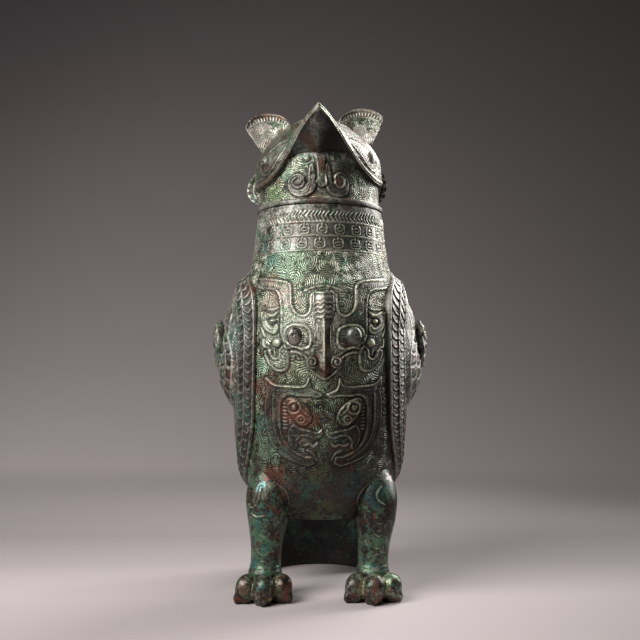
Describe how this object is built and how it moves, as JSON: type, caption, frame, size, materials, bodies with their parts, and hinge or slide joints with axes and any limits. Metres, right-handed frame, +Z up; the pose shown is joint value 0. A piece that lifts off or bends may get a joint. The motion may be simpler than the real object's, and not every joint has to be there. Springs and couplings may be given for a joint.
{
  "type": "owl vessel",
  "caption": "Lidded wine vessel of cast bronze in the form of a standing owl, on clawed legs and a drooping tail, with a head that lifts off as the lid.",
  "frame": {"origin": "on the ground, under the axis of the neck, which is the middle of the footprint", "axes": "+Z up along the neck's axis, the owl faces -Y, +X is the owl's left, which is the viewer's right"},
  "size_m": [0.195, 0.1825, 0.4386],
  "materials": {
    "green_bronze": "cast bronze, green patina with a fine cast ground",
    "pale_bronze": "cast bronze, worn high relief with pale green patina",
    "brown_bronze": "cast bronze, smooth, brown and red oxide patina",
    "leg_clay": "fired casting clay, unseen inside the legs"
  },
  "bodies": {
    "vessel": {"vessel_body": "green_bronze", "tail": "green_bronze", "breast_nose": "pale_bronze", "breast_eye_right": "pale_bronze", "breast_eye_left": "pale_bronze", "wing_right": "green_bronze", "wing_left": "green_bronze", "beast_head_right": "pale_bronze", "beast_head_left": "pale_bronze", "leg_right": "green_bronze", "leg_left": "green_bronze", "leg_core_right": "leg_clay", "leg_core_left": "leg_clay", "foot_right": "brown_bronze", "foot_left": "brown_bronze"},
    "head": {"head_shell": "green_bronze", "beak_hood": "brown_bronze", "eye_right": "pale_bronze", "eye_left": "pale_bronze", "horn_right": "pale_bronze", "horn_left": "pale_bronze", "ear_right": "pale_bronze", "ear_left": "pale_bronze"}
  },
  "joints": [
    {"name": "head_lift", "type": "slide", "parent": "vessel", "child": "head", "axis": [0, 0, 1], "range_m": [0, 0.14]}
  ]
}
